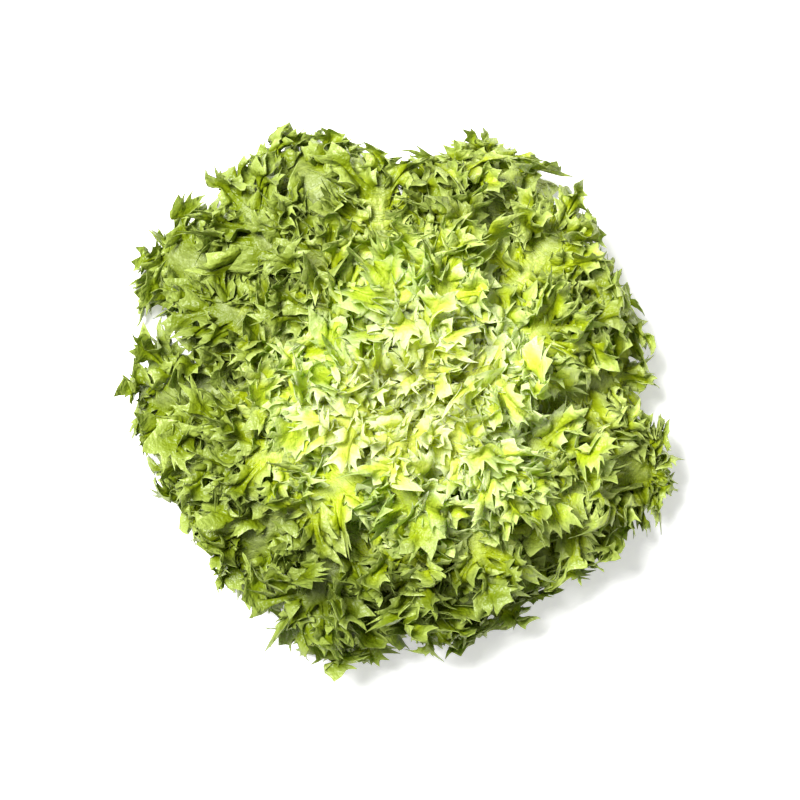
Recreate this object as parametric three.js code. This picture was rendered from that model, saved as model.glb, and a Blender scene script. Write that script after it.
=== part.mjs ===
// A head of curly endive: a rosette of frilled leaves that grow in a spiral from a short crown.
// Millimetres, +Z up. The origin is the centre of the crown's cut face, which the head stands on.
import * as THREE from "three";

// The head.
const LEAF_COUNT = 52;
const HEAD_HEIGHT = 128; // top of the dome that the ribs' ends lie on
const EDGE_HEIGHT = 8; // where the oldest leaf's rib ends
// How far the outer ribs reach from the crown's axis, every 30 degrees anticlockwise from +X.
const REACH = [142, 140, 160, 142, 174, 174, 168, 152, 170, 148, 134, 156];
const HEART_REACH = -2; // where the youngest leaf's rib ends, just past the axis
const HEART_DIP = 12; // how far the heart sinks below the dome
const BUD_DIP = 30; // how much further the three youngest leaves do
const GOLDEN_ANGLE = Math.PI * (3 - Math.sqrt(5)); // turn from each leaf to the next younger one
const FIRST_AZIMUTH = 2.6; // direction of the oldest leaf, in radians from +X
const ARCH = 0.95; // how far a rib bends down from base to tip, in radians

// The crown.
const CROWN_RADIUS = 17;
const CROWN_HEIGHT = 44;
const CROWN_TAPER = 0.3; // radius at its top, as a share of its radius at the foot
const CROWN_EDGE = 1.5; // how far the cut face's edge is rounded off
const CROWN_SIDES = 24;
const FIRST_LEAF_Z = 9; // height of the lowest leaf base on the crown
const LAST_LEAF_Z = 40;
const BASE_GAP = 1.6; // how far off the crown's side a rib's middle starts

// A leaf. Each pair is for the oldest leaf and for the youngest, and a share is of the rib's length.
const HALF_WIDTH = [0.32, 0.21];
const PETIOLE_HALF_WIDTH = [0.034, 0.036];
const STALK = [0.26, 0.12]; // the stretch of rib with no blade
const RUFFLE = [0.052, 0.026]; // height of the waves along the margin
const RIB_THICKNESS = 0.02;
const BLADE_THICKNESS = 0.8;
const BLADE_FULL_AT = 0.62; // share of the lobed stretch where the blade is widest
const TIP_FROM = 0.76; // where it starts to narrow towards the tip
const TIP_WIDTH = 0.42; // and what is left of its width there
const LOBES = 7; // along each side
const LOBE_SWEEP = 0.35; // how far a lobe leans towards the tip, per unit of its length
const NOTCH = [0.46, 0.66]; // depth range of the cuts between lobes, as a share of the half width
const LOBE_REACH = [0.85, 1.15];
const RUFFLE_GROWS = 0.7; // share of the lobed stretch over which the ruffle grows to its full height
const WRAP_RADIUS = 2; // least radius at which a blade curls round the head's axis

// How much leaves differ from each other.
const AZIMUTH_DRIFT = 0.06;
const TIP_DRIFT = 2;
const WIDTH_DRIFT = 0.08;
const SIDE_BEND = 0.1;
const TWIST = 0.09;
const SEED = 6;

// Mesh resolution.
const PETIOLE_FACES = 2; // along the bare stalk
const ROWS = 2; // faces across each half of a blade

const COLORS = {
  crown: 0xe9e6cf,
  outer: 0x6f9a35,
  middle: 0x9dbd4c,
  heart: 0xe3ea9a,
};
const OUTER_UNTIL = 0.36; // ages at which one whorl gives way to the next
const MIDDLE_UNTIL = 0.75;

const { sin, cos, PI, abs, pow, atan2, hypot, min, max, floor, sign } = Math;
const mix = (a, b, t) => a + (b - a) * t;
const smooth = (lo, hi, x) => {
  const t = min(1, max(0, (x - lo) / (hi - lo)));
  return t * t * (3 - 2 * t);
};

// The draws that tell one leaf from another, by the number of the trait.
const TRAIT = {
  azimuth: 1,
  tip: 2,
  leftWave: 3,
  rightWave: 4,
  width: 5,
  bend: 6,
  twist: 7,
  lobe: 10, // and the numbers after it, two for each pair of lobes
  notch: 40,
};

// A repeatable draw from 0 to 1 for one trait of one leaf: the fraction of a large multiple of a sine.
function draw(leaf, trait) {
  const x = sin(leaf * 12.9898 + trait * 78.233 + SEED * 3.71) * 43758.5453;
  return x - floor(x);
}

// The outer reach in a direction, smoothed between the stated ones.
function reachAt(azimuth) {
  const turns = azimuth / (2 * PI);
  const x = (turns - floor(turns)) * REACH.length;
  const i = floor(x);
  return mix(REACH[i], REACH[(i + 1) % REACH.length], smooth(0, 1, x - i));
}

const crownRadiusAt = (z) => CROWN_RADIUS * mix(1, CROWN_TAPER, smooth(0.2, 1, z / CROWN_HEIGHT));

// Everything that sets one leaf, from the oldest and outermost (0) to the youngest at the heart.
function leafTraits(index) {
  const age = index / (LEAF_COUNT - 1);
  const vary = (trait) => 2 * draw(index, trait) - 1;
  const azimuth = FIRST_AZIMUTH + index * GOLDEN_ANGLE + AZIMUTH_DRIFT * vary(TRAIT.azimuth);
  const baseZ = mix(FIRST_LEAF_Z, LAST_LEAF_Z, age);
  const baseR = crownRadiusAt(baseZ) + BASE_GAP;
  // The ribs' ends lie on a dome that dips at the heart, spread evenly as seen from above.
  const reach = max(HEART_REACH, reachAt(azimuth) * pow(1 - pow(age, 1.3), 0.74));
  const dip = HEART_DIP * smooth(0.8, 1, age) + BUD_DIP * smooth(0.94, 1, age);
  const tipZ = mix(EDGE_HEIGHT, HEAD_HEIGHT, pow(age, 0.7)) - dip + TIP_DRIFT * vary(TRAIT.tip);
  const rise = atan2(tipZ - baseZ, reach - baseR);
  const chord = hypot(tipZ - baseZ, reach - baseR);
  const arch = max(0.05, min(ARCH, PI - 2 * rise)); // no rib starts out leaning inwards
  const length = (chord * (arch / 2)) / sin(arch / 2);
  return {
    index,
    age,
    azimuth,
    baseR,
    baseZ,
    length,
    arch,
    baseElevation: rise + arch / 2,
    halfWidth: length * mix(...HALF_WIDTH, age) * (1 + WIDTH_DRIFT * vary(TRAIT.width)),
    petiole: length * mix(...PETIOLE_HALF_WIDTH, age),
    stalk: mix(...STALK, age),
    ruffle: length * mix(...RUFFLE, age),
    sideBend: SIDE_BEND * vary(TRAIT.bend) * (1 - age),
    twist: TWIST * vary(TRAIT.twist) * (1 - age),
    wavePhases: [draw(index, TRAIT.leftWave), draw(index, TRAIT.rightWave)].map((x) => x * 2 * PI),
  };
}

// Distance from the rib to the margin at a share of the lobed stretch, before the lobes are cut in.
function bladeWidth(leaf, share) {
  if (share === 0) return leaf.petiole;
  const taper = mix(1, TIP_WIDTH, smooth(TIP_FROM, 1, share));
  return mix(leaf.petiole, leaf.halfWidth, smooth(-0.05, BLADE_FULL_AT, share) * taper);
}

// What the lobes leave of that width: stations alternate between notches and lobe tips.
function lobeCut(leaf, lobeStation, side) {
  if (lobeStation <= 0) return 1;
  const number = 2 * floor(lobeStation / 2) + side;
  return lobeStation % 2 === 1
    ? mix(...LOBE_REACH, draw(leaf.index, TRAIT.lobe + number))
    : mix(...NOTCH, draw(leaf.index, TRAIT.notch + number));
}

// A point of the blade's mid-surface; v runs from one margin (-1) across the rib (0) to the other (1).
function bladePoint(leaf, station, v) {
  const side = v < 0 ? 0 : 1;
  const lobeStation = station - PETIOLE_FACES;
  const share = max(0, lobeStation / (2 * LOBES));
  const u = share > 0 ? mix(leaf.stalk, 1, share) : (station / PETIOLE_FACES) * leaf.stalk;
  const d = abs(v) * bladeWidth(leaf, share) * lobeCut(leaf, lobeStation, side);
  // Where the point is on the flat leaf: along the rib, across it, and off its sheet.
  const along = leaf.length * u + LOBE_SWEEP * d * share;
  const across = sign(v) * d + leaf.sideBend * leaf.length * pow(along / leaf.length, 2);
  const wave = cos(share * LOBES * PI + leaf.wavePhases[side]);
  const ruffle = leaf.ruffle * pow(abs(v), 1.3) * min(1, share / RUFFLE_GROWS) * wave;
  const lift = ruffle + leaf.twist * sign(v) * d * share;
  // The rib is an arc that leaves the crown at its base elevation and bends down by its arch.
  const elevation = leaf.baseElevation - (leaf.arch * along) / leaf.length;
  const radius = leaf.length / leaf.arch;
  const r = leaf.baseR + radius * (sin(leaf.baseElevation) - sin(elevation)) - lift * sin(elevation);
  const z = leaf.baseZ + radius * (cos(elevation) - cos(leaf.baseElevation)) + lift * cos(elevation);
  // The blade wraps round the head's axis, so that leaves lie in one another like bowls.
  const wrap = hypot(r, WRAP_RADIUS);
  const turn = atan2(across, wrap);
  return new THREE.Vector3(r - wrap * (1 - cos(turn)), wrap * sin(turn), z);
}

// Gives a sheet a thickness. Both faces share its triangles, and a rim closes them along its border.
function thicken(sheet, thicknesses) {
  sheet.computeVertexNormals();
  const { position, normal } = sheet.attributes;
  const count = position.count;
  const points = new Float32Array(count * 6);
  for (let i = 0; i < count; i++) {
    const p = new THREE.Vector3().fromBufferAttribute(position, i);
    const n = new THREE.Vector3().fromBufferAttribute(normal, i);
    n.multiplyScalar(thicknesses[i] / 2);
    p.clone().add(n).toArray(points, i * 3);
    p.clone().sub(n).toArray(points, (count + i) * 3);
  }
  const faces = [];
  const border = new Map();
  for (let i = 0; i < sheet.index.count; i += 3) {
    const [a, b, c] = [0, 1, 2].map((k) => sheet.index.getX(i + k));
    faces.push(a, b, c, count + c, count + b, count + a);
    for (const [p, q] of [[a, b], [b, c], [c, a]]) {
      if (!border.delete(q + "," + p)) border.set(p + "," + q, [p, q]);
    }
  }
  for (const [p, q] of border.values()) {
    faces.push(q, p, count + p, q, count + p, count + q);
  }
  return new THREE.BufferGeometry()
    .setAttribute("position", new THREE.BufferAttribute(points, 3))
    .setIndex(faces);
}

function leafGeometry(leaf) {
  const stations = PETIOLE_FACES + 2 * LOBES;
  const sheet = new THREE.PlaneGeometry(stations, 2, stations, 2 * ROWS);
  const { position } = sheet.attributes;
  const thicknesses = [];
  for (let i = 0; i < position.count; i++) {
    const station = Math.round(position.getX(i) + stations / 2);
    const v = position.getY(i);
    position.setXYZ(i, ...bladePoint(leaf, station, v).toArray());
    const rib = RIB_THICKNESS * leaf.length * mix(1, 0.25, station / stations);
    thicknesses.push(mix(max(rib, BLADE_THICKNESS), BLADE_THICKNESS, abs(v)));
  }
  return thicken(sheet, thicknesses);
}

function crownGeometry() {
  const profile = [new THREE.Vector2(0, 0), new THREE.Vector2(CROWN_RADIUS - CROWN_EDGE, 0)];
  for (let z = CROWN_EDGE; z < CROWN_HEIGHT - 3; z += 6) {
    profile.push(new THREE.Vector2(crownRadiusAt(z), z));
  }
  profile.push(new THREE.Vector2(0, CROWN_HEIGHT));
  return new THREE.LatheGeometry(profile, CROWN_SIDES).rotateX(PI / 2);
}

function material(color, roughness) {
  return new THREE.MeshStandardMaterial({ color, roughness, metalness: 0 });
}

const head = new THREE.Group();

const crown = new THREE.Mesh(crownGeometry(), material(COLORS.crown, 0.6));
crown.name = "crown";
head.add(crown);

const leafMaterials = {
  outer: material(COLORS.outer, 0.45),
  middle: material(COLORS.middle, 0.45),
  heart: material(COLORS.heart, 0.5),
};

for (let index = 0; index < LEAF_COUNT; index++) {
  const leaf = leafTraits(index);
  const whorl = leaf.age < OUTER_UNTIL ? "outer" : leaf.age < MIDDLE_UNTIL ? "middle" : "heart";
  const mesh = new THREE.Mesh(leafGeometry(leaf), leafMaterials[whorl]);
  mesh.name = `${whorl}_leaf_${String(index + 1).padStart(2, "0")}`;
  mesh.rotation.z = leaf.azimuth;
  head.add(mesh);
}

export default head;
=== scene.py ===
# %% [markdown]
# # A head of curly endive
# A short crown carries a spiral of frilled leaves, pale at the heart and green outside.
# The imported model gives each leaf's plain solid. Here every leaf is made again as a fine
# sheet with lobes, teeth and frills, on the same rib, so it stands where its solid does.

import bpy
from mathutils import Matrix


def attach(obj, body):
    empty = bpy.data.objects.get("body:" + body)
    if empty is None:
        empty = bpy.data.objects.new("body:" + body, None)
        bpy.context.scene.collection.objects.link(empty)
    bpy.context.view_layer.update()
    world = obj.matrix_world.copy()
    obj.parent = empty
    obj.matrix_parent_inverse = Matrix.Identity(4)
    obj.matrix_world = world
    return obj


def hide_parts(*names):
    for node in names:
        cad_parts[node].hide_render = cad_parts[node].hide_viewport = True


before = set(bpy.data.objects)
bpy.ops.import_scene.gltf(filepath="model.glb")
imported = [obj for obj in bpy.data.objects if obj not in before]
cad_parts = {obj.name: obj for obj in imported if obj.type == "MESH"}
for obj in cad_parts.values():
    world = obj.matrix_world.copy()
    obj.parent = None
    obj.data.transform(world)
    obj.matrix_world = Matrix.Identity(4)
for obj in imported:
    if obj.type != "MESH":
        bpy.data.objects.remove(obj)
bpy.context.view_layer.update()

# %% What Blender and Python bring
import math
from types import SimpleNamespace

import bmesh
import bpy
from mathutils import Vector, noise

MM = 0.001  # the head's measures are in millimetres, the scene is in metres
scene = bpy.context.scene
print("Blender", bpy.app.version_string)

# %% [markdown]
# ## The camera, the floor and the light
# A head lying on a table is best seen from straight above. A long lens far away keeps the
# leaves at the rim and those at the top at nearly the same scale. The light could come from
# several lamps, but frills read best in one soft light from one side: a white sheet under a
# large lamp and an even white sky do what a light tent does.

# %% Camera straight above
VIEW_WIDTH = 0.450  # what the frame shows across, at the height where the leaves spread widest
VIEW_HEIGHT = 0.05  # that height
CAMERA_DISTANCE = 1.6
SENSOR = 36.0
FRAME_CENTRE = (-0.0084, 0.0)  # measured from the head's axis

camera = bpy.data.objects.new("camera", bpy.data.cameras.new("camera"))
scene.collection.objects.link(camera)
camera.location = (*FRAME_CENTRE, VIEW_HEIGHT + CAMERA_DISTANCE)
camera.data.sensor_width = SENSOR
camera.data.lens = SENSOR * CAMERA_DISTANCE / VIEW_WIDTH
scene.camera = camera
print("lens:", round(camera.data.lens, 1), "mm")

# %% White floor
FLOOR_SIZE = 4.0
FLOOR_GAP = 0.0004  # keeps the floor from sharing a plane with the crown's cut face

floor_mesh = bmesh.new()
bmesh.ops.create_grid(floor_mesh, x_segments=1, y_segments=1, size=FLOOR_SIZE / 2)
bmesh.ops.translate(floor_mesh, verts=floor_mesh.verts, vec=(0, 0, -FLOOR_GAP))
floor = bpy.data.objects.new("floor", bpy.data.meshes.new("floor"))
floor_mesh.to_mesh(floor.data)
floor_mesh.free()
scene.collection.objects.link(floor)
print("floor:", FLOOR_SIZE, "m across")

# %% Soft light from the upper left
KEY_FROM = Vector((-0.65, 0.55, 1.85))
KEY_SIZE = 0.8
KEY_WATTS = 106
SKY_STRENGTH = 0.43

key = bpy.data.objects.new("key_light", bpy.data.lights.new("key_light", "AREA"))
key.data.shape = "DISK"
key.data.size = KEY_SIZE
key.data.energy = KEY_WATTS
key.location = KEY_FROM
key.rotation_mode = "QUATERNION"
key.rotation_quaternion = KEY_FROM.to_track_quat("Z", "Y")
scene.collection.objects.link(key)

scene.world = bpy.data.worlds.new("sky")
scene.world.use_nodes = True
sky = scene.world.node_tree.nodes["Background"]
sky.inputs["Color"].default_value = (1, 1, 1, 1)
sky.inputs["Strength"].default_value = SKY_STRENGTH
scene.view_settings.view_transform = "Standard"
print("lamp:", round(KEY_FROM.length, 2), "m away, sky strength:", SKY_STRENGTH)

# %% [markdown]
# ## How the head grows
# Leaves leave the crown in a spiral: each one is turned by the golden angle from the one
# before it, and stands a little higher. The oldest lie almost on the table and the youngest
# close over the heart. They could be placed one by one by hand, but a few rules and small
# chance differences give every leaf its own place at once. The numbers are those of the
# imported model, so that ribs match.

# %% Measures of the head, in millimetres
LEAF_COUNT = 52
HEAD_HEIGHT = 128  # of the dome's top
EDGE_HEIGHT = 8  # of the oldest rib's end
REACH = [142, 140, 160, 142, 174, 174, 168, 152, 170, 148, 134, 156]  # every 30 degrees
REACH_POWERS = (1.3, 0.74)  # with these and the next, the ribs' ends lie on a dome
HEIGHT_POWER = 0.7
HEART_REACH = -2  # the youngest ribs end just past the axis
HEART_FROM, HEART_DIP = 0.8, 12  # from this age on, ends lie lower, in a shallow bowl
BUD_FROM, BUD_DIP = 0.94, 30
GOLDEN_ANGLE = math.pi * (3 - math.sqrt(5))
FIRST_AZIMUTH = 2.6  # radians
ARCH = 0.95  # radians that a rib bends through
LEAST_ARCH = 0.05
SEED = 6
print("each leaf is turned by", round(math.degrees(GOLDEN_ANGLE), 1), "degrees from the last")

# %% Measures of the crown, in millimetres
CROWN_RADIUS = 17
CROWN_HEIGHT = 44
CROWN_TAPER = 0.3  # its top's radius, as a share of its foot's
TAPER_FROM = 0.2
FIRST_LEAF_Z = 9
LAST_LEAF_Z = 40
BASE_GAP = 1.6  # from the crown's surface to the middle of a rib
print("leaves grow from", FIRST_LEAF_Z, "to", LAST_LEAF_Z, "mm up the crown")

# %% Measures of a leaf: for the oldest and for the youngest, as shares of the rib's length
HALF_WIDTH = (0.32, 0.21)
PETIOLE_HALF_WIDTH = (0.034, 0.036)
STALK = (0.26, 0.12)
RUFFLE = (0.052, 0.026)
print("the oldest leaf is", 2 * HALF_WIDTH[0], "as wide as long, the youngest", 2 * HALF_WIDTH[1])

# %% How far chance may move each trait
AZIMUTH_DRIFT = 0.06  # radians
TIP_DRIFT = 2  # millimetres, up or down
WIDTH_DRIFT = 0.08
SIDE_BEND = 0.1
TWIST = 0.09
print("a leaf may stray", round(math.degrees(AZIMUTH_DRIFT), 1), "degrees from the spiral")


# %% Small sums used everywhere
def mix(a, b, t):
    """a where t is 0 and b where t is 1."""
    return a + (b - a) * t


def smooth(low, high, x):
    """0 below low and 1 above high, with a smooth step between."""
    t = min(1, max(0, (x - low) / (high - low)))
    return t * t * (3 - 2 * t)


def draw(leaf_number, trait):
    """A repeatable number from 0 to 1 for one trait of one leaf, scrambled by large factors."""
    x = math.sin(leaf_number * 12.9898 + trait * 78.233 + SEED * 3.71) * 43758.5453
    return x - math.floor(x)


print("draws for the oldest leaf:", [round(draw(0, trait), 2) for trait in range(1, 5)])


# %% How far the head reaches in a direction, and how thick the crown is at a height
def reach_at(azimuth):
    x = azimuth / (2 * math.pi) % 1 * len(REACH)
    i = int(x)
    return mix(REACH[i], REACH[(i + 1) % len(REACH)], smooth(0, 1, x - i))


def crown_radius_at(z):
    return CROWN_RADIUS * mix(1, CROWN_TAPER, smooth(TAPER_FROM, 1, z / CROWN_HEIGHT))


print("at the youngest leaf the crown's radius is", round(crown_radius_at(LAST_LEAF_Z), 1), "mm")

# %% Everything that sets one leaf apart
AZIMUTH, TIP, LEFT_WAVE, RIGHT_WAVE, WIDTH, BEND, TURN = range(1, 8)  # what each draw is for


def leaf_traits(index):
    age = index / (LEAF_COUNT - 1)

    def vary(trait):
        return 2 * draw(index, trait) - 1

    azimuth = FIRST_AZIMUTH + index * GOLDEN_ANGLE + AZIMUTH_DRIFT * vary(AZIMUTH)
    base_z = mix(FIRST_LEAF_Z, LAST_LEAF_Z, age)
    base_r = crown_radius_at(base_z) + BASE_GAP
    shrunk = (1 - age ** REACH_POWERS[0]) ** REACH_POWERS[1]
    reach = max(HEART_REACH, reach_at(azimuth) * shrunk)
    dip = HEART_DIP * smooth(HEART_FROM, 1, age) + BUD_DIP * smooth(BUD_FROM, 1, age)
    tip_z = mix(EDGE_HEIGHT, HEAD_HEIGHT, age**HEIGHT_POWER) - dip + TIP_DRIFT * vary(TIP)
    rise = math.atan2(tip_z - base_z, reach - base_r)
    chord = math.hypot(tip_z - base_z, reach - base_r)
    arch = max(LEAST_ARCH, min(ARCH, math.pi - 2 * rise))
    length = chord * (arch / 2) / math.sin(arch / 2)
    return SimpleNamespace(
        index=index,
        age=age,
        azimuth=azimuth,
        base_r=base_r,
        base_z=base_z,
        length=length,
        arch=arch,
        base_elevation=rise + arch / 2,
        half_width=length * mix(*HALF_WIDTH, age) * (1 + WIDTH_DRIFT * vary(WIDTH)),
        petiole=length * mix(*PETIOLE_HALF_WIDTH, age),
        stalk=mix(*STALK, age),
        ruffle=length * mix(*RUFFLE, age),
        side_bend=SIDE_BEND * vary(BEND) * (1 - age),
        twist=TWIST * vary(TURN) * (1 - age),
        wave_phases=[draw(index, t) * 2 * math.pi for t in (LEFT_WAVE, RIGHT_WAVE)],
    )


leaves = [leaf_traits(i) for i in range(LEAF_COUNT)]
oldest = leaves[0]
lengths = [leaf.length for leaf in leaves]
print("longest rib", round(max(lengths)), "mm, shortest", round(min(lengths)), "mm")

# %% [markdown]
# ## The outline of a blade
# An endive leaf is cut three times over: into lobes down both sides, each lobe into smaller
# ones, and their edges into spiny teeth with rounded bays between them. The outline could be
# drawn as a curve and filled, but a filled curve has no even faces that could bend. So the
# leaf starts as a grid with one column for every tooth, and formulas say how far out each
# row of it lies. Towards the edge the columns are halved, and the edge itself is cut finer
# still, so that only what shows the teeth carries many faces.

# %% How wide the blade is
BLADE_FROM = -0.05  # shares of the blade's length
BLADE_FULL_AT = 0.62
TIP_FROM = 0.76
TIP_WIDTH = 0.42


def blade_width(leaf, share):
    """Half the width, from the rib to the edge, of the blade without its frills."""
    taper = mix(1, TIP_WIDTH, smooth(TIP_FROM, 1, share))
    return mix(leaf.petiole, leaf.half_width, smooth(BLADE_FROM, BLADE_FULL_AT, share) * taper)


print("half width of the oldest:", [round(blade_width(oldest, k / 4)) for k in range(5)], "mm")

# %% How deep the cuts between lobes are, and how long that leaves each lobe
LOBE, CUT_DEPTH = 10, 1950  # draws, two for each pair of lobes
LOBES = 7  # of the plain solid, down each side
LOBE_REACH = (0.85, 1.15)  # of its lobes, shortest and longest, as shares of the blade's width
CUTS = ((0.2, 0.4), (0.08, 0.3))  # where they end, near the stalk and near the tip
CUTS_DEEPEN = (0.1, 0.7)  # between these shares of the blade
LEAST_LOBE = 0.1  # share of the blade's width
LOBE_LENGTH = (33, 20)  # of the longest, on the oldest leaf and on the youngest
YOUNGEST_REACH = 1.6  # the youngest leaves' lobes are this much longer than the plain solid's
TIP_SPREAD = 2.1  # and so are those near a leaf's tip
TIP_SPREADS = (0.5, 0.9)  # between these shares of the blade


def cut_depth(leaf, lobes, number, side):
    """How far from the rib a cut ends, as a share of the blade's width."""
    if number == 0:
        return 1
    chance = draw(leaf.index, CUT_DEPTH + 2 * number + side)
    near_stalk, near_tip = (mix(*depths, chance) for depths in CUTS)
    return mix(near_stalk, near_tip, smooth(*CUTS_DEEPEN, number / lobes))


def lobe_reach(leaf, lobes, number, side):
    """How long a lobe is. The longest ones are held to about the same length."""
    middle = (number + 0.5) / lobes
    tip = mix(*LOBE_REACH, draw(leaf.index, LOBE + 2 * int(LOBES * middle) + side))
    cut = (cut_depth(leaf, lobes, number, side) + cut_depth(leaf, lobes, number + 1, side)) / 2
    free = blade_width(leaf, middle) * mix(1, YOUNGEST_REACH, leaf.age) * max(LEAST_LOBE, tip - cut)
    free *= mix(1, TIP_SPREAD, smooth(*TIP_SPREADS, middle))
    longest = mix(*LOBE_LENGTH, leaf.age)
    return longest * math.tanh(free / longest)


print("a lobe halfway up the oldest leaf is", round(lobe_reach(oldest, 18, 9, 0)), "mm long")

# %% Columns and rows of a leaf's grid
FRILL_LOBES = (18, 8)  # along each side, on the oldest leaf and on the youngest
ROUND_A_LOBE = 2.2  # the way round its edge, in lobe lengths
TOOTH_SPACING = 4.25
HIDDEN_TEETH = 0.35  # share of them near the stalk, where other leaves lie on top
HIDDEN_UNTIL = 0.5
STALK_COLUMNS = 5
BLADE_ROWS = 1  # from the rib to the lobes' roots, on each side
LOBE_ROWS = 4
TOOTH_ROWS = 3
ROWS = BLADE_ROWS + LOBE_ROWS + TOOTH_ROWS


def grid_of(leaf):
    lobes = round(mix(*FRILL_LOBES, leaf.age))
    starts = [STALK_COLUMNS]
    for k in range(lobes):
        edge = ROUND_A_LOBE * lobe_reach(leaf, lobes, k, 0)
        edge += leaf.length * (1 - leaf.stalk) / lobes
        shown = mix(HIDDEN_TEETH, 1, smooth(0, HIDDEN_UNTIL, k / (lobes - 1)))
        starts.append(starts[-1] + max(2, round(edge * shown / TOOTH_SPACING)))
    return SimpleNamespace(lobes=lobes, starts=starts, columns=starts[-1])


oldest_grid = grid_of(oldest)
print("oldest leaf:", oldest_grid.lobes, "lobes a side in", oldest_grid.columns, "columns")

# %% One tooth: how far it stands out, and how it bends
TOOTH_SIZE, TOOTH_TURN, TOOTH_TWIST = 2000, 3000, 4000  # draws
TOOTH_LENGTH = (7.6, 6.6)  # on the oldest leaf and on the youngest
TOOTH_SPREAD = (0.5, 1.4)  # shortest and longest, as shares of that
TOOTH_POINT = 2.3  # above 1, the bays between teeth are rounded
TOOTH_BEND = (-0.4, 1.0)  # most teeth bend the way their wave does, some of them the other way
NO_TOOTH = SimpleNamespace(length=0, height=0, side=0, bend=0, twist=0)


def tooth_at(leaf, number, side, along, grown):
    """`along` runs from 0 in the bay before the tooth to 1 in the bay after it."""
    trait = 2 * number + side
    length = mix(*TOOTH_LENGTH, leaf.age) * mix(*TOOTH_SPREAD, draw(leaf.index, TOOTH_SIZE + trait))
    length *= grown
    return SimpleNamespace(
        length=length,
        height=length * (1 - abs(2 * along - 1)) ** TOOTH_POINT,
        side=-math.cos(math.pi * along),
        bend=mix(*TOOTH_BEND, draw(leaf.index, TOOTH_TURN + trait)),
        twist=2 * draw(leaf.index, TOOTH_TWIST + trait) - 1,
    )


print("the oldest leaf's first tooth:", round(tooth_at(oldest, 0, 0, 0.5, 1).height, 1), "mm")

# %% The stalk's columns, where there is no lobe
STALK_ROOT, STALK_REACH = 0.6, 0.4  # shares of its half width


def stalk_column(leaf, column):
    return SimpleNamespace(
        share=0,
        u=column / STALK_COLUMNS * leaf.stalk,
        root=STALK_ROOT * leaf.petiole,
        reach=STALK_REACH * leaf.petiole,
        breadth=0,
        climb=0,
        around=0,
        step=0,
        frill=0,
        tooth=NO_TOOTH,
        bend_length=1,
        out=1,
        fan=0,
        lobe=0,
    )


print("the oldest leaf's stalk is", round(oldest.stalk * oldest.length), "mm long")

# %% Where a column stands, where its lobe is rooted, and how far it reaches beyond that
LOBE_BREADTH = (0.08, 0.12)  # half a lobe's width, as a share of its length
LOBE_FOOT = 0.35  # how much wider it is at its foot, as a share of the room it has
TEETH_PER_FRILL = 3  # on each of the small lobes round a lobe's edge
FRILL_LENGTH = (5.0, 4.2)
FULL_FRILL_FROM = 15  # millimetres: shorter lobes have shorter frills
LEAST_FRILL = 0.3
FRILLS_GROW = 0.2  # share of the blade over which frills and teeth grow to full size
FLANK_TOOTH = 0.6  # length of the teeth at a lobe's foot, as a share of those at its tip
TOOTH_LEAN = 0.45  # how far the teeth down a lobe's side lean towards its tip
LEAST_BEND_LENGTH = 3
TIP_ROUND_FROM, LEAST_TIP = 0.88, 0.003


def lobe_breadth(leaf, grid, reach, climb):
    breadth = mix(*LOBE_BREADTH, leaf.age) * reach * math.sin(math.pi * climb**1.3) ** 0.75
    return breadth + LOBE_FOOT * leaf.length / grid.lobes * smooth(0, 0.25, climb) * (1 - climb) ** 0.6


def edge_column(leaf, grid, column, side):
    """`column` may lie between two whole ones, where a tooth's points are."""
    if column <= STALK_COLUMNS:
        return stalk_column(leaf, column)
    lobe = max(k for k in range(grid.lobes) if grid.starts[k] < column)
    steps = grid.starts[lobe + 1] - grid.starts[lobe]
    step = column - grid.starts[lobe]
    around = step / steps  # from the lobe's near cut round its tip to its far one
    climb = 1 - abs(2 * around - 1) ** 1.3  # how far up the lobe its edge is here
    share = (lobe + around) / grid.lobes
    flank = 1 if around > 0.5 else -1
    cut = mix(*(cut_depth(leaf, grid.lobes, lobe + k, side) for k in (0, 1)), around)
    rounded = math.sqrt(max(LEAST_TIP, 1 - smooth(TIP_ROUND_FROM, 1, share)))
    reach = lobe_reach(leaf, grid.lobes, lobe, side)
    grown = smooth(0, FRILLS_GROW, share)
    number, along = divmod(step, 1)
    number = round(grid.starts[lobe] + number)
    tooth = tooth_at(leaf, number, side, along, grown * mix(FLANK_TOOTH, 1, climb))
    frill = mix(*FRILL_LENGTH, leaf.age) * abs(math.sin(math.pi * step / TEETH_PER_FRILL)) ** 1.2
    frill *= grown * min(1, reach / FULL_FRILL_FROM)
    out = mix(TOOTH_LEAN, 1, climb**3)
    return SimpleNamespace(
        share=share,
        u=mix(leaf.stalk, 1, share),
        root=blade_width(leaf, share) * cut * rounded,
        reach=reach,
        breadth=flank * lobe_breadth(leaf, grid, reach, climb),
        climb=climb,
        around=around,
        step=step,
        frill=LEAST_FRILL + frill,
        tooth=tooth,
        bend_length=max(frill + tooth.length, LEAST_BEND_LENGTH),
        out=out,
        fan=flank * math.sqrt(1 - out * out),
        lobe=lobe,
    )


sample = edge_column(oldest, oldest_grid, oldest_grid.columns // 2, 1)
print("halfway up, a lobe starts", round(sample.root), "mm from the rib and is",
      round(sample.reach), "mm long")

# %% [markdown]
# ## Frills
# The edge of the blade grows faster than its middle, so it has more length than room and
# buckles. A cloth simulation could grow the edge, but it would take minutes and might settle
# another way each time. Waves laid over each other do it at once: the blade itself swings in
# slow waves, and each lobe then leaves it in a direction of its own. It curls up or down,
# twists, and fans out wider than its root, so that lobes overlap and turn every way.

# %% The slow waves of the blade
OVERHANG = 0.45  # how far the waves lean over each other
WAVE_HEIGHT, WAVE_STEEPENS = 1.5, 1.2  # in ruffles, and as a power of the way to the edge
RUFFLE_GROWS = 0.7  # share of the blade over which the waves grow to full height
WANDER = 0.6  # radians by which waves come early or late
PUCKER = 4.5  # millimetres, up and down


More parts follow.
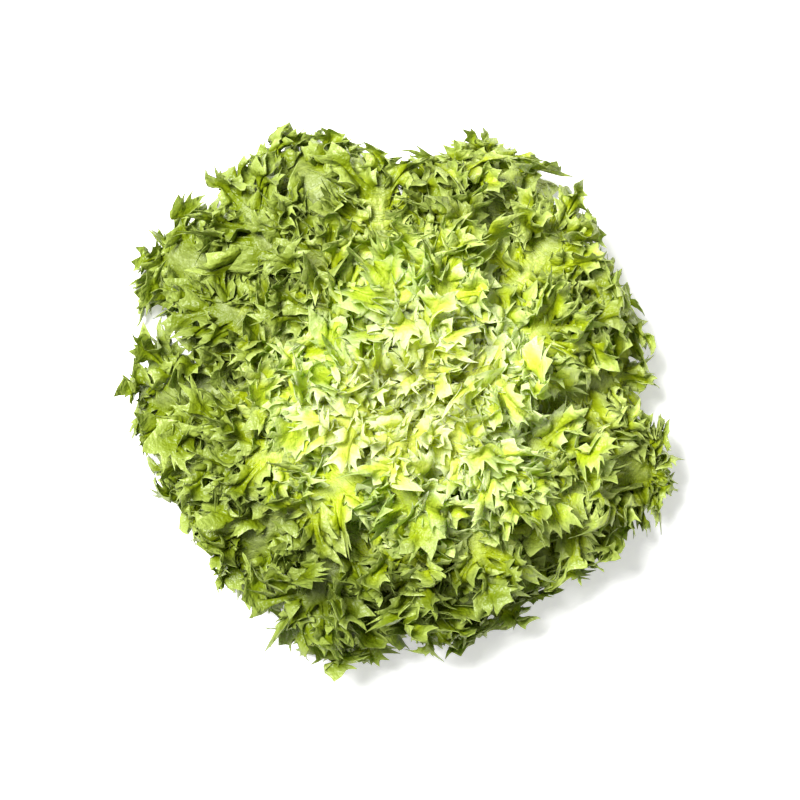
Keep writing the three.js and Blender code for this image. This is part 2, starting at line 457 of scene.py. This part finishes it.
def blade_wave(leaf, at, edge, side):
    """How far the sheet is pushed along the rib and off its own plane, at `edge` from 0 to 1."""
    # noise is read at a place of its own for each leaf and each side
    wander = noise.noise(Vector((at.share * 5, leaf.index * 7.3, side * 3.1)))
    pucker = noise.noise(Vector((at.u * 7, leaf.index * 3.7, (edge if side else -edge) * 3)))
    swing = at.share * LOBES * math.pi + leaf.wave_phases[side] + WANDER * wander
    height = WAVE_HEIGHT * leaf.ruffle * edge**WAVE_STEEPENS * min(1, at.share / RUFFLE_GROWS)
    return OVERHANG * height * math.sin(2 * swing), height * math.cos(swing) + PUCKER * pucker * at.u


push, lift = blade_wave(oldest, sample, 1, 1)
print("there the edge is pushed", round(push, 1), "mm along and", round(lift, 1), "mm up")

# %% [markdown]
# ## From a flat leaf to its place on the head
# The rib is an arc that leaves the crown and bends down. The blade wraps round the head's
# axis, so leaves lie in one another like bowls. A flat leaf could be bent by a Curve
# modifier and turned as an object, but here its place has to be in its mesh, so each point
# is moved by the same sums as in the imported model. What would sink into the table is pressed
# flat on it instead.

# %% A point of the flat leaf, set on the head
WRAP_RADIUS = 2  # millimetres: keeps the blade from closing round the axis near it


def set_on_head(leaf, along, across, lift):
    elevation = leaf.base_elevation - leaf.arch * along / leaf.length
    radius = leaf.length / leaf.arch
    r = leaf.base_r + radius * (math.sin(leaf.base_elevation) - math.sin(elevation))
    z = leaf.base_z + radius * (math.cos(elevation) - math.cos(leaf.base_elevation))
    r -= lift * math.sin(elevation)
    z += lift * math.cos(elevation)
    wrap = math.hypot(r, WRAP_RADIUS)
    turn = math.atan2(across, wrap)
    x, y = r - wrap * (1 - math.cos(turn)), wrap * math.sin(turn)
    c, s = math.cos(leaf.azimuth), math.sin(leaf.azimuth)
    return Vector((c * x - s * y, s * x + c * y, z))


print("the oldest rib ends at", [round(c) for c in set_on_head(oldest, oldest.length, 0, 0)])

# %% A point held above the table, under the top, and inside the head's reach
FLOOR_CLEARANCE = 1.3
CEILING = 123
SOFTNESS = 2.5  # how gently points are turned back at either
NEARLY_STRAIGHT = 20  # past this the bend adds nothing
RIM = 12  # millimetres inside the reach, where points start to be held
RIM_HOLD = 0.55  # how much of what is past that is taken away


def soft_floor(height, floor):
    """The height, bent so that it never falls below the floor."""
    x = (height - floor) / SOFTNESS
    return floor + SOFTNESS * (math.log1p(math.exp(x)) if x < NEARLY_STRAIGHT else x)


def hold_inside(point):
    point.z = -soft_floor(-soft_floor(point.z, FLOOR_CLEARANCE), -CEILING)
    radius = math.hypot(point.x, point.y)
    past = radius - reach_at(math.atan2(point.y, point.x)) + RIM
    if past > 0:
        held = 1 - past * RIM_HOLD / radius
        point.x *= held
        point.y *= held
    return point


print("a point 10 mm under the table is lifted to", round(soft_floor(-10, FLOOR_CLEARANCE), 2))

# %% A point of the blade between the rib and the lobes' roots
LEAN, ROLL, CURL = 930, 901, 932  # draws
TIP_LEAN = (0.1, 0.34)  # how far the leaf's end leans aside, on the oldest and the youngest
TIP_ROLL = (0.5, 0.9)  # and rolls
CURL_FROM = 0.58  # share of the rib where its end starts to curl
TIP_CURL = ((-0.4, 0.5), (0.5, 1.7))  # least and most, oldest and youngest: down is positive
LOBE_SWEEP = 0.35  # how far points out on the blade are swept towards its tip


def blade_point(leaf, at, side, d):
    """`d` millimetres across from the rib."""
    sign = 1 if side else -1
    push, lift = blade_wave(leaf, at, d / blade_width(leaf, at.share), side)
    along = leaf.length * at.u + LOBE_SWEEP * d * at.share + push
    bend = leaf.side_bend * leaf.length * (along / leaf.length) ** 2
    bend += mix(*TIP_LEAN, leaf.age) * (2 * draw(leaf.index, LEAN) - 1) * leaf.length * at.u**3
    roll = mix(*TIP_ROLL, leaf.age) * (2 * draw(leaf.index, ROLL) - 1) * at.u**2
    lift += (leaf.twist * at.share + roll) * sign * d
    past = along - CURL_FROM * leaf.length
    if past > 0:
        low, high = (mix(a, b, leaf.age) for a, b in zip(*TIP_CURL))
        bent = mix(low, high, draw(leaf.index, CURL)) / (leaf.length * (1 - CURL_FROM))
        angle = bent * past
        along = CURL_FROM * leaf.length + math.sin(angle) / bent + lift * math.sin(angle)
        lift = lift * math.cos(angle) - (1 - math.cos(angle)) / bent
    return set_on_head(leaf, along, sign * d + bend, lift)


print("the sample lobe's root:", [round(c) for c in blade_point(oldest, sample, 1, sample.root)])

# %% Along an arc: how far it goes forward, and how far it rises
STRAIGHT = 0.0005  # less curvature than this is none


def arc(curvature, distance):
    if abs(curvature) < STRAIGHT:
        return distance, 0
    turned = curvature * distance
    return math.sin(turned) / curvature, (1 - math.cos(turned)) / curvature


print("10 mm along a circle of 10 mm in radius:", [round(c, 1) for c in arc(0.1, 10)])

# %% Each lobe's own bearing: three directions at its root, and how it curls and twists
LOBE_FORTH, LOBE_UP, LOBE_BEND, LOBE_TURN, LOBE_PHASE = 230, 260, 290, 320, 1900  # draws
LOBE_LEAN = (0.0, 0.9)  # forward, towards the leaf's tip
TIP_LEANS = ((0.5, 0.8, 0.1), (0.85, 1, 1.6))  # from, until, and how much further forward
LOBE_TILT = ((0.0, 1.2), (-0.8, 0.2))  # lobes stand up and hang down in turn
TIP_FLATTENS = (0.8, 1, 0.6)  # from, until, and how much less
LOBE_CURL = 2.2  # radians from root to tip, up or down
LOBE_TWIST = 1.5
LEAST_BEARING = 6  # millimetres over which the shortest lobes curl


def lobe_bearing(leaf, grid, number, side):
    middle = (grid.starts[number] + grid.starts[number + 1]) // 2
    at = edge_column(leaf, grid, middle, side)
    ahead = edge_column(leaf, grid, middle + 1, side)
    here = blade_point(leaf, at, side, at.root)
    out = (here - blade_point(leaf, at, side, 0.8 * at.root)).normalized()
    forward = (blade_point(leaf, ahead, side, at.root) - here).normalized()
    forward = (forward - out * forward.dot(out)).normalized()
    up = forward.cross(out) * (1 if side else -1)

    def chance(trait):
        return draw(leaf.index, trait + 2 * number + side)

    lean = mix(*LOBE_LEAN, chance(LOBE_FORTH))
    for low, high, more in TIP_LEANS:
        lean += more * smooth(low, high, at.share)
    low, high, less = TIP_FLATTENS
    tilt = mix(*LOBE_TILT[number % 2], chance(LOBE_UP)) * (1 - less * smooth(low, high, at.share))
    heading = (out + forward * lean + up * tilt).normalized()
    forward = (forward - heading * forward.dot(heading)).normalized()
    up = forward.cross(heading) * (1 if side else -1)
    return SimpleNamespace(
        root=here,
        out=heading,
        forward=forward,
        up=up,
        length=max(at.reach, LEAST_BEARING),
        curl=LOBE_CURL * (2 * chance(LOBE_BEND) - 1),
        twist=LOBE_TWIST * (2 * chance(LOBE_TURN) - 1),
        phase=chance(LOBE_PHASE) * 2 * math.pi,
    )


sample_bearing = lobe_bearing(oldest, oldest_grid, sample.lobe, 1)
print("the sample lobe curls by", round(math.degrees(sample_bearing.curl)), "degrees")


# %% A place on the flat lobe, curled and twisted with it
def curl_with_lobe(base, bearing, out, side, up):
    curvature = bearing.curl / bearing.length
    reach, rise = arc(curvature, out)
    twist = bearing.twist * out / bearing.length
    turned = curvature * out
    tip_up = bearing.up * math.cos(turned) - bearing.out * math.sin(turned)
    sideways = bearing.forward * math.cos(twist) + tip_up * math.sin(twist)
    return base + bearing.out * reach + bearing.up * rise + sideways * side + tip_up * up


tip = curl_with_lobe(sample_bearing.root, sample_bearing, sample_bearing.length, 0, 0)
print("its tip is", round((tip - sample_bearing.root).length), "mm from its root in a straight line")

# %% A point of a lobe: its own frills and teeth first, then the lobe's curl
VEIN_TURN = 1.6  # above 1, veins leave the lobe's middle one after another, as in a feather
RUFFLE_DEPTH = 0.22  # of the waves round the edge, as a share of the lobe's length
OVERTURN = 0.5  # how far the waves lean over each other
BUCKLE = 0.25  # of the lobe's face, as a share of its length
TOOTH_WIDENS = 0.1
TOOTH_CURL = 1.7
TOOTH_TURNS = 0.7
PHASE_APART = 9  # keeps the noise of one lobe unlike that of the next
FOOT_OUT = 0.4  # millimetres that the edge stands out where two lobes meet
ROOTS_MERGE = (0.7, 0.3)  # shares of the way out and up over which a lobe narrows to its foot


def lobe_point(root, bearing, at, share, e):
    """`share` of the way from the lobe's root to its edge, then `e` millimetres along a tooth."""
    wander = noise.noise(Vector((at.around * 3, share, bearing.phase * PHASE_APART)))
    wave = math.pi * at.step / TEETH_PER_FRILL + bearing.phase + 3 * wander
    forth, lift = arc(TOOTH_CURL * at.tooth.bend * math.cos(wave) / at.bend_length, e)
    spread = at.tooth.side * TOOTH_WIDENS * e
    depth = RUFFLE_DEPTH * bearing.length * share**2
    aside = spread + OVERTURN * depth * math.sin(2 * wave)
    out = at.climb * bearing.length * (1 - (1 - share) ** VEIN_TURN) + FOOT_OUT * share
    out += at.out * forth - at.fan * aside
    side = at.breadth * share**VEIN_TURN + at.fan * forth + at.out * aside
    up = depth * math.cos(wave) + lift + TOOTH_TURNS * at.tooth.twist * spread
    place = Vector((2.5 * side, 1.7 * out, 0)) / bearing.length
    buckled = noise.noise(place + Vector((0, 0, bearing.phase * PHASE_APART)))
    up += BUCKLE * bearing.length * share * buckled
    merged = smooth(0, ROOTS_MERGE[0], share) * smooth(0, ROOTS_MERGE[1], at.climb)
    return curl_with_lobe(root.lerp(bearing.root, merged), bearing, out, side, up)


edge = lobe_point(sample_bearing.root, sample_bearing, sample, 1, 0)
print("its edge is", round((edge - sample_bearing.root).length), "mm from its root")

# %% [markdown]
# ## A leaf as one sheet
# A real blade is a third of a millimetre thick, and its rib ten times as much. Two separate
# faces for every leaf could be made by formula, but one sheet is half the work: its points
# are moved into place, and a Solidify modifier gives it its thickness later, more at the
# rib. Each point also keeps three numbers for the skin: how near the rib it is, how near the
# edge, and how green.

# %% How green a point of a leaf is: blanched near the axis, green where light reached it, and paler towards one side
GREENNESS = 900  # draw
GREEN_FROM, GREEN_FULL = 26, 122  # millimetres from the axis
GREEN_DRIFT = 14
PALE_SIDE = 0.35  # azimuth of the side where the leaves are palest
PALE_BY = 0.2


def greenness(leaf, point):
    radius = math.hypot(point.x, point.y) / MM
    drifted = radius + GREEN_DRIFT * (2 * draw(leaf.index, GREENNESS) - 1)
    sunlit = smooth(GREEN_FROM, GREEN_FULL, drifted)
    return sunlit - PALE_BY * sunlit * math.cos(math.atan2(point.y, point.x) - PALE_SIDE)


print("greenness 80 mm from the axis:", round(greenness(oldest, Vector((0, 80, 0)) * MM), 2))

# %% A flat grid whose outermost edges are cut up for the teeth
EDGE_CUTS = ((BLADE_ROWS + LOBE_ROWS - 1, 1), (ROWS, 2))  # from this row outwards, this many
HAIR = 0.1  # of a row, so that rows are told apart whatever their last digits


def toothed_grid(columns):
    sheet = bmesh.new()
    sheet.loops.layers.uv.new("UVMap")
    bmesh.ops.create_grid(sheet, x_segments=columns, y_segments=2 * ROWS, size=1, calc_uvs=True)
    stalk_end = 2 * STALK_COLUMNS / columns - 1
    for row, cuts in EDGE_CUTS:
        edges = [e for e in sheet.edges if all(abs(v.co.y) > (row - HAIR) / ROWS for v in e.verts)]
        edges = [e for e in edges if abs(e.verts[0].co.y - e.verts[1].co.y) < HAIR / ROWS]
        edges = [e for e in edges if max(v.co.x for v in e.verts) > stalk_end + 0.001]
        bmesh.ops.subdivide_edges(sheet, edges=edges, cuts=cuts)
        bmesh.ops.triangulate(sheet, faces=[f for f in sheet.faces if len(f.verts) > 4])
    return sheet


trial = toothed_grid(oldest_grid.columns)
print("the oldest leaf's grid has", len(trial.faces), "faces")
trial.free()

# %% A whole leaf as a sheet
TOOTH_RISE = 1.9  # above 1, teeth leave the edge in a curve
RIB_NARROWS = 0.2  # at its end, as a share of its start
RIB_FADES = (0.3, 1.2)  # from its middle, in rib widths
MARGIN_FROM = 0.45  # share of the way from the rib to the edge


def sheet_column(leaf, grid, column, side):
    at = edge_column(leaf, grid, column, side)
    at.root_point = blade_point(leaf, at, side, at.root)
    return at


def sheet_point(leaf, at, bearing, row, side):
    """The point in row `row` from the rib, and how far it is from the rib."""
    on_lobe = (row - BLADE_ROWS) / LOBE_ROWS
    if on_lobe <= 0:
        d = at.root * row / BLADE_ROWS
        return blade_point(leaf, at, side, d), d
    past = max(0, row - BLADE_ROWS - LOBE_ROWS) / TOOTH_ROWS
    e = at.frill * past + at.tooth.height * past**TOOTH_RISE
    share = min(1, on_lobe)
    return lobe_point(at.root_point, bearing, at, share, e), at.root + at.reach * share


def leaf_sheet(leaf, name):
    grid = grid_of(leaf)
    sheet = toothed_grid(grid.columns)
    tone = sheet.verts.layers.float.new("tone")
    rib = sheet.verts.layers.float.new("rib")
    margin = sheet.verts.layers.float.new("margin")
    thickness = sheet.verts.layers.deform.new()
    bearings = [[lobe_bearing(leaf, grid, k, side) for k in range(grid.lobes)] for side in (0, 1)]
    columns = {}
    for v in sheet.verts:
        column = round((v.co.x + 1) / 2 * grid.columns, 3)
        row = round((v.co.y + 1) * ROWS) - ROWS
        side = 1 if row > 0 else 0
        if (column, side) not in columns:
            columns[column, side] = sheet_column(leaf, grid, column, side)
        at = columns[column, side]
        point, d = sheet_point(leaf, at, bearings[side][at.lobe], abs(row), side)
        v.co = hold_inside(point) * MM
        rib_width = leaf.petiole * mix(1, RIB_NARROWS, smooth(0, 0.8, at.u))
        v[rib] = 1 - smooth(*RIB_FADES, d / rib_width)
        v[tone] = greenness(leaf, v.co)
        # how near the edge, where the colour turns paler: partly the margin's own colour, partly a
        # painted highlight
        v[margin] = smooth(MARGIN_FROM, 1, abs(row) / ROWS)
        v[thickness][0] = v[rib] * mix(1, RIB_NARROWS, at.u)
    mesh = bpy.data.meshes.new(name)
    sheet.to_mesh(mesh)
    sheet.free()
    mesh.shade_smooth()
    return mesh


print("a sheet has", ROWS, "rows on each side of the rib")

# %% [markdown]
# ## Shader sums
# A material is a small program drawn with nodes. It could be wired by hand in the Shader
# Editor, but writing it with + - * reads better, so one class wraps a node's output and
# turns each sign into a Math node.


# %% A socket that can be added, multiplied and mixed
class Tint:
    def __init__(self, tree, socket):
        self.tree = tree
        self.socket = socket

    def node(self, kind, settings, sockets, output=0):
        """Adds a node: its type, its settings, then the values or links of its sockets."""
        made = self.tree.nodes.new(kind)
        for key, value in settings.items():
            if key == "stops":
                ramp = made.color_ramp.elements
                while len(ramp) < len(value):
                    ramp.new(0.5)
                for stop, (position, color) in zip(ramp, value):
                    stop.position = position
                    stop.color = color
            else:
                setattr(made, key, value)
        for key, value in sockets.items():
            if isinstance(value, Tint):
                self.tree.links.new(value.socket, made.inputs[key])
            else:
                made.inputs[key].default_value = value
        return Tint(self.tree, made.outputs[output])

    def math(self, operation, a, b=0.5):
        return self.node("ShaderNodeMath", {"operation": operation}, {0: a, 1: b})

    def __add__(self, other):
        return self.math("ADD", self, other)

    def __sub__(self, other):
        return self.math("SUBTRACT", self, other)

    def __rsub__(self, other):
        return self.math("SUBTRACT", other, self)

    def __mul__(self, other):
        return self.math("MULTIPLY", self, other)

    __radd__ = __add__
    __rmul__ = __mul__

    def between(self, low, high, steps="SMOOTHSTEP"):
        """0 below low and 1 above high, with a smooth step between, or a straight one."""
        return self.node(
            "ShaderNodeMapRange",
            {"interpolation_type": steps},
            {"Value": self, "From Min": low, "From Max": high},
        )

    def blend(self, first, second):
        """The first colour where this value is 0 and the second where it is 1."""
        return self.node(
            "ShaderNodeMix", {"data_type": "RGBA"}, {"Factor": self, 6: first, 7: second}, output=2
        )

    def tones(self, stops):
        """The colour that a ramp has at this value."""
        return self.node("ShaderNodeValToRGB", {"stops": stops}, {"Fac": self})


print("a tint can be used with + - * and three named ways to pick a value or a colour")


# %% Colours as the eye names them, from 0 to 255
def rgb(red, green, blue):
    def linear(c):
        c /= 255
        return c / 12.92 if c <= 0.04045 else ((c + 0.055) / 1.055) ** 2.4

    return (linear(red), linear(green), linear(blue), 1)


print("a middle grey is", round(rgb(128, 128, 128)[0], 3), "for the shader")


# %% An empty material, and the patterns it can read
def start_material(name):
    material = bpy.data.materials.new(name)
    material.use_nodes = True
    tree = material.node_tree
    tree.nodes.clear()
    return material, Tint(tree, None)


def finish_material(tint, shader):
    output = tint.tree.nodes.new("ShaderNodeOutputMaterial")
    tint.tree.links.new(shader.socket, output.inputs["Surface"])


def object_place(tint):
    return tint.node("ShaderNodeTexCoord", {}, {}, output=3)


def kept_number(tint, name):
    """A number that every point of the mesh keeps."""
    return tint.node("ShaderNodeAttribute", {"attribute_name": name}, {}, output=2)


def stretched(tint, place, scale):
    return tint.node("ShaderNodeMapping", {}, {"Vector": place, "Scale": scale})


def cloudy(tint, place, scale, detail):
    """Soft noise around 0.5."""
    return tint.node("ShaderNodeTexNoise", {}, {"Vector": place, "Scale": scale, "Detail": detail})


print("materials so far:", len(bpy.data.materials))

# %% [markdown]
# ## The leaf's skin
# A leaf is coloured by the green in its flesh, which thins out near the heart, where no light
# came. Its margins are paler: partly their own colour, partly a painted highlight on the thin,
# lit edge. Its veins make streaks and its surface is crinkled. It shines a little, and light
# also passes through it, which is what makes a salad leaf glow.
# All of it could be painted on a picture, but a pattern made by nodes stays sharp close up
# and follows each leaf by itself. Light passing through has one flat colour for each tone,
# and the tone decides how they are mixed.

# %% Tones from the blanched heart to the green outside
FLESH_TONES = [
    (0.0, rgb(235, 241, 122)),
    (0.3, rgb(217, 231, 72)),
    (0.62, rgb(193, 208, 20)),
    (1.0, rgb(128, 147, 2)),
]
# paler margins: partly their own colour, partly a painted highlight on the thin, lit edge
MARGIN_AND_HIGHLIGHT_TONES = [
    (0.0, rgb(246, 250, 228)),
    (0.3, rgb(236, 244, 190)),
    (0.62, rgb(217, 229, 134)),
    (1.0, rgb(172, 190, 86)),
]
THROUGH_TONES = [
    (0.0, rgb(240, 246, 4)),
    (0.3, rgb(218, 237, 0)),
    (0.62, rgb(182, 209, 0)),
    (1.0, rgb(112, 142, 0)),
]
RIB_COLOR = rgb(228, 236, 180)
RIB_SHOWS = 0.7
print("tones:", len(FLESH_TONES), "of flesh,", len(MARGIN_AND_HIGHLIGHT_TONES), "of margin")

# %% How blotches, veins and crinkles shift the tone
BLOTCH_SCALE, BLOTCH_SHIFT = 45.0, 0.5
VEIN_SCALE, STREAK_SHIFT = (110.0, 7.0, 1.0), 0.4  # close along the leaf, long across it
CRINKLE_SCALE, CRINKLE_SHIFT = 190.0, 0.5


def leaf_pattern(tint):
    """The tone of each point, and the height of its streaks and crinkles."""
    place = object_place(tint)
    flat = tint.node("ShaderNodeUVMap", {"uv_map": "UVMap"}, {})
    blotches = cloudy(tint, place, BLOTCH_SCALE, 3.0)
    streaks = cloudy(tint, stretched(tint, flat, VEIN_SCALE), 1.0, 2.0)
    crinkle = cloudy(tint, place, CRINKLE_SCALE, 3.0)
    shade = kept_number(tint, "tone") + (blotches - 0.5) * BLOTCH_SHIFT
    shade = shade + (streaks - 0.5) * STREAK_SHIFT + (crinkle - 0.5) * CRINKLE_SHIFT
    return shade, streaks * 0.2 + crinkle


print("crinkles are about", round(1 / CRINKLE_SCALE / MM), "mm apart")

# %% The skin's shine and the light through it
CRINKLE_HEIGHT = 0.003
ROUGHNESS = 0.42
SHINE = 0.7
GLOW_SHARES = {"outer": 0.36, "middle": 0.48, "heart": 0.64}  # how much light passes through


def light_through(tint, shade, relief):
    """A flat colour for each tone, mixed as far as the shade is past the tone before it."""
    palest = THROUGH_TONES[0][1]
    through = tint.node("ShaderNodeBsdfTranslucent", {}, {"Color": palest, "Normal": relief})
    for (low, _), (high, color) in zip(THROUGH_TONES, THROUGH_TONES[1:]):
        deeper = tint.node("ShaderNodeBsdfTranslucent", {}, {"Color": color, "Normal": relief})
        share = shade.between(low, high, "LINEAR")
        through = tint.node("ShaderNodeMixShader", {}, {"Fac": share, 1: through, 2: deeper})
    return through


def leaf_skin(name, glow_share):
    material, tint = start_material(name)
    shade, height = leaf_pattern(tint)
    # the margins take the paler tones, partly a painted highlight
    flesh = kept_number(tint, "margin").blend(shade.tones(FLESH_TONES), shade.tones(MARGIN_AND_HIGHLIGHT_TONES))
    color = (kept_number(tint, "rib") * RIB_SHOWS).blend(flesh, RIB_COLOR)
    relief = tint.node(
        "ShaderNodeBump", {}, {"Strength": 1.0, "Distance": CRINKLE_HEIGHT, "Height": height}
    )
    skin = tint.node(
        "ShaderNodeBsdfPrincipled",
        {},
        {"Base Color": color, "Roughness": ROUGHNESS, "Specular IOR Level": SHINE, "Normal": relief},
    )
    glow = light_through(tint, shade, relief)
    finish_material(
        tint, tint.node("ShaderNodeMixShader", {}, {"Fac": glow_share, 1: skin, 2: glow})
    )
    return material


skins = {whorl: leaf_skin(f"{whorl}_leaf_skin", share) for whorl, share in GLOW_SHARES.items()}
print("skins:", [skin.name for skin in skins.values()])

# %% [markdown]
# ## Every leaf
# The whorls differ in their skins only, because heart leaves are thinner and let more light
# through. A leaf's thickness could be modelled, but the Solidify modifier does it from one
# number, and a vertex group makes the rib thicker. Its thin cut edge would turn dark if it
# were shaded with the broad faces, so the last modifier lets the broad faces lead.


# %% A piece that takes the place of a plain solid
def add_piece(name, mesh, node):
    piece = bpy.data.objects.new(name, mesh)
    scene.collection.objects.link(piece)
    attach(piece, "root")
    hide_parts(node)
    return piece


# %% Which whorl each leaf belongs to
OUTER_UNTIL, MIDDLE_UNTIL = 0.36, 0.75  # ages at which the whorls end


def whorl_of(leaf):
    if leaf.age < OUTER_UNTIL:
        return "outer"
    return "middle" if leaf.age < MIDDLE_UNTIL else "heart"


whorls = [whorl_of(leaf) for leaf in leaves]
print("leaves:", {whorl: whorls.count(whorl) for whorl in GLOW_SHARES})

# %% Make every leaf
RIB_THICKNESS = 0.02  # share of the rib's length
BLADE_THICKNESS = 0.3  # millimetres
BROAD_FACES_LEAD = 60  # above 50, broad faces count for more than the thin cut edge

faces = 0
for leaf, whorl in zip(leaves, whorls):
    node = f"{whorl}_leaf_{leaf.index + 1:02d}"
    mesh = leaf_sheet(leaf, node + "_frilled")
    mesh.materials.append(skins[whorl])
    piece = add_piece(node + "_frilled", mesh, node)
    piece.vertex_groups.new(name="rib")
    wall = piece.modifiers.new("thickness", "SOLIDIFY")
    wall.thickness = RIB_THICKNESS * leaf.length * MM
    wall.offset = -1
    wall.vertex_group = "rib"
    wall.thickness_vertex_group = BLADE_THICKNESS * MM / wall.thickness
    piece.modifiers.new("cut_edge_shading", "WEIGHTED_NORMAL").weight = BROAD_FACES_LEAD
    faces += len(mesh.polygons)

print("leaf faces before thickness:", faces)

# %% [markdown]
# ## The crown
# Under the leaves sits a short stump of pale flesh, cut off square when the head was
# harvested. The side swells where each stalk leaves it, and the cut face dries brown. It
# could be carved by hand in Sculpt Mode. A cylinder cut into many rings is enough here,
# because each point only has to move in or out by a sum over the stalks near it.

# %% The crown's side, swollen at the stalks, and its cut face
CROWN_SIDES = 120
CROWN_RINGS = 22
CUT_RINGS = 7
CUT_EDGE = 1.2  # millimetres by which the cut face's rim is rounded
SWELLING = 1.4
SWELLING_SPREAD = 4.5
SWELLING_FROM = 6  # fades out below this height
CUT_ROUGHNESS = 0.5
CUT_GRAIN = 5


def plain_stump():
    """A cylinder one millimetre in radius, with rings up its side and across its foot."""
    stump = bmesh.new()
    bmesh.ops.create_cone(
        stump, cap_ends=True, segments=CROWN_SIDES, radius1=1, radius2=1, depth=CROWN_HEIGHT
    )
    bmesh.ops.translate(stump, verts=stump.verts, vec=(0, 0, CROWN_HEIGHT / 2))
    upright = [e for e in stump.edges if abs(e.verts[0].co.z - e.verts[1].co.z) > 1]
    bmesh.ops.subdivide_edges(stump, edges=upright, cuts=CROWN_RINGS)
    foot = [f for f in stump.faces if f.normal.z < -0.9]
    step = 1 / (CUT_RINGS + 0.5)
    for ring in range(CUT_RINGS):
        bmesh.ops.inset_region(stump, faces=foot, thickness=step, use_even_offset=True)
    return stump


def swollen_radius(azimuth, z):
    radius = crown_radius_at(z) - CUT_EDGE * (1 - smooth(0, 2 * CUT_EDGE, z))
    for leaf in leaves:
        apart = (azimuth - leaf.azimuth + math.pi) % (2 * math.pi) - math.pi
        far = math.hypot(apart * CROWN_RADIUS, z - leaf.base_z) / SWELLING_SPREAD
        radius += SWELLING * math.exp(-far * far) * smooth(0, SWELLING_FROM, z)
    return radius


def crown_mesh(name):
    stump = plain_stump()
    for v in stump.verts:
        x, y, z = v.co
        radius = swollen_radius(math.atan2(y, x), z)
        on_cut = z < 0.001 and math.hypot(x, y) < 0.99
        rough = noise.noise(Vector((x, y, 0)) * CUT_GRAIN) if on_cut else 0
        v.co = Vector((x * radius, y * radius, z + CUT_ROUGHNESS * max(0, rough))) * MM
    bmesh.ops.recalc_face_normals(stump, faces=stump.faces)
    mesh = bpy.data.meshes.new(name)
    stump.to_mesh(mesh)
    stump.free()
    mesh.shade_smooth()
    return mesh


crown = crown_mesh("crown_cut")
print("crown faces:", len(crown.polygons))

# %% [markdown]
# ## The crown's flesh
# Cut flesh soon turns brown, and shows the rings in which the leaves grew. The side
# stays pale, with fibers that run up into the stalks. Two materials on two sets of faces
# would meet in a hard line, so one material fades from the cut to the side by height.

# %% Pale and fibrous at the side, browned in rings on the cut face
CROWN_PALE, FIBER_COLOR = rgb(236, 234, 204), rgb(214, 216, 168)
CUT_COLOR, CUT_DARK = rgb(176, 132, 84), rgb(120, 80, 46)
CROWN_ROUGHNESS = 0.6
FIBER_SCALE = (900.0, 900.0, 60.0)
FIBER_HEIGHT = 0.0008
SPOT_SCALE = 350.0
RINGS = 2600.0  # radians to a metre
RINGS_WANDER = 5.0
DRIED = (0.0008, 0.0035)  # metres up the side over which the brown fades


def crown_flesh(name):
    material, tint = start_material(name)
    place = object_place(tint)
    height = tint.node("ShaderNodeSeparateXYZ", {}, {"Vector": place}, output=2)
    across = stretched(tint, place, (1.0, 1.0, 0.0))
    radius = tint.node("ShaderNodeVectorMath", {"operation": "LENGTH"}, {"Vector": across}, output=1)
    fibers = cloudy(tint, stretched(tint, place, FIBER_SCALE), 1.0, 2.0)
    spots = cloudy(tint, place, SPOT_SCALE, 3.0)
    rings = tint.math("SINE", radius * RINGS + spots * RINGS_WANDER) * 0.5 + 0.5
    flesh = fibers.between(0.4, 0.7).blend(CROWN_PALE, FIBER_COLOR)
    cut = (rings * 0.35 + spots.between(0.35, 0.7) * 0.5).blend(CUT_COLOR, CUT_DARK)
    relief = tint.node(
        "ShaderNodeBump", {}, {"Strength": 0.5, "Distance": FIBER_HEIGHT, "Height": fibers + spots}
    )
    color = (1 - height.between(*DRIED)).blend(flesh, cut)
    skin = tint.node(
        "ShaderNodeBsdfPrincipled",
        {},
        {"Base Color": color, "Roughness": CROWN_ROUGHNESS, "Normal": relief},
    )
    finish_material(tint, skin)
    return material


crown.materials.append(crown_flesh("crown_flesh_skin"))
add_piece("crown_cut", crown, "crown")
print("the crown's skin:", crown.materials[0].name)

# %% [markdown]
# ## The floor's paper
# The sheet under the head is plain matte paper. It could be lit brighter to come out white,
# but that would bleach the leaves, so it gives off a little light of its own instead.

# %% White paper
PAPER_WHITE = (0.9, 0.9, 0.9, 1)
PAPER_ROUGHNESS = 0.9
PAPER_GLOW = 0.36

paper, tint = start_material("floor_white")
finish_material(
    tint,
    tint.node(
        "ShaderNodeBsdfPrincipled",
        {},
        {
            "Base Color": PAPER_WHITE,
            "Roughness": PAPER_ROUGHNESS,
            "Emission Color": (1, 1, 1, 1),
            "Emission Strength": PAPER_GLOW,
        },
    ),
)
floor.data.materials.append(paper)
print("materials:", [material.name for material in bpy.data.materials])
